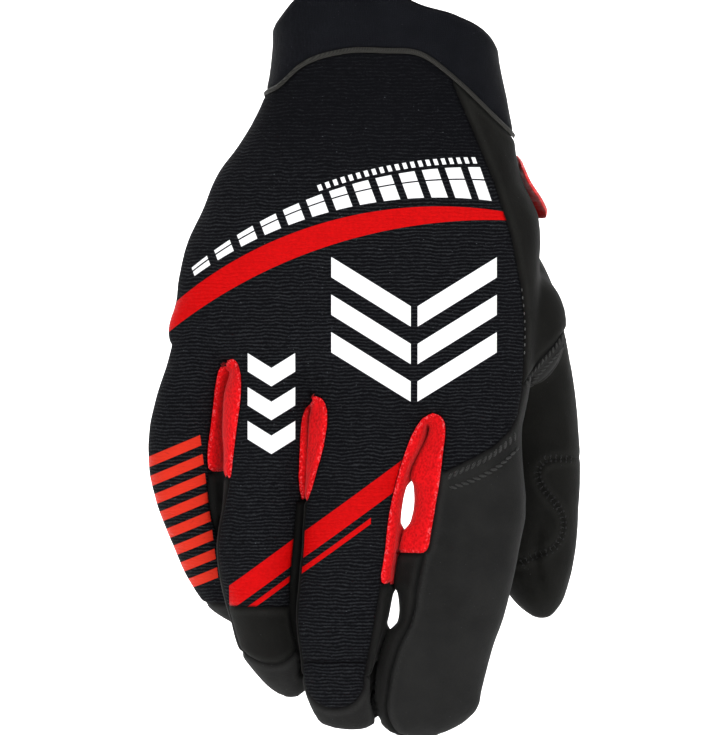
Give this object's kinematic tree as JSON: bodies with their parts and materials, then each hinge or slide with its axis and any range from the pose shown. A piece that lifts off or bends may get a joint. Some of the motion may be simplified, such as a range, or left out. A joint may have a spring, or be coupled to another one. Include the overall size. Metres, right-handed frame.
{
  "type": "work glove",
  "caption": "Right-hand work glove with a ribbed stretch back, smooth palm and thumb, gussets between the fingers and a knit wrist band, shaped as worn with the fingers down.",
  "frame": {"origin": "middle of the wrist mouth, where a wrist goes in", "axes": "+Z out of the wrist mouth, fingers towards -Z, back of the hand towards -Y, palm towards +Y, thumb towards +X"},
  "size_m": [0.1205, 0.058, 0.208],
  "materials": {
    "cuff_knit": "navy-black stretch knit",
    "binding": "narrow charcoal binding",
    "ribbed_textile": "black stretch textile with fine cross ribs and prints",
    "smooth_synthetic": "smooth charcoal synthetic",
    "finger_synthetic": "smooth charcoal synthetic leather",
    "thumb_synthetic": "black synthetic suede",
    "side_wall": "black stretch knit",
    "red_mesh": "fuzzy red stretch knit",
    "red_rubber": "moulded red rubber"
  },
  "bodies": {
    "root": {"cuff_band": "cuff_knit", "cuff_binding": "binding", "back_panel": "ribbed_textile", "thumb_side_strip": "smooth_synthetic", "index_back": "finger_synthetic", "ring_end": "smooth_synthetic", "middle_end": "ribbed_textile", "palm_panel": "finger_synthetic", "thumb_back": "thumb_synthetic", "thumb_palm": "thumb_synthetic", "thumb_patch": "thumb_synthetic", "fourchette_little_ring": "red_mesh", "fourchette_ring_middle": "red_mesh", "fourchette_middle_index": "red_mesh", "side_little_thumbward": "side_wall", "side_ring_littleward": "side_wall", "side_ring_thumbward": "side_wall", "side_middle_littleward": "side_wall", "side_middle_thumbward": "side_wall", "side_index_littleward": "side_wall", "pull_tab": "red_rubber"}
  },
  "joints": []
}
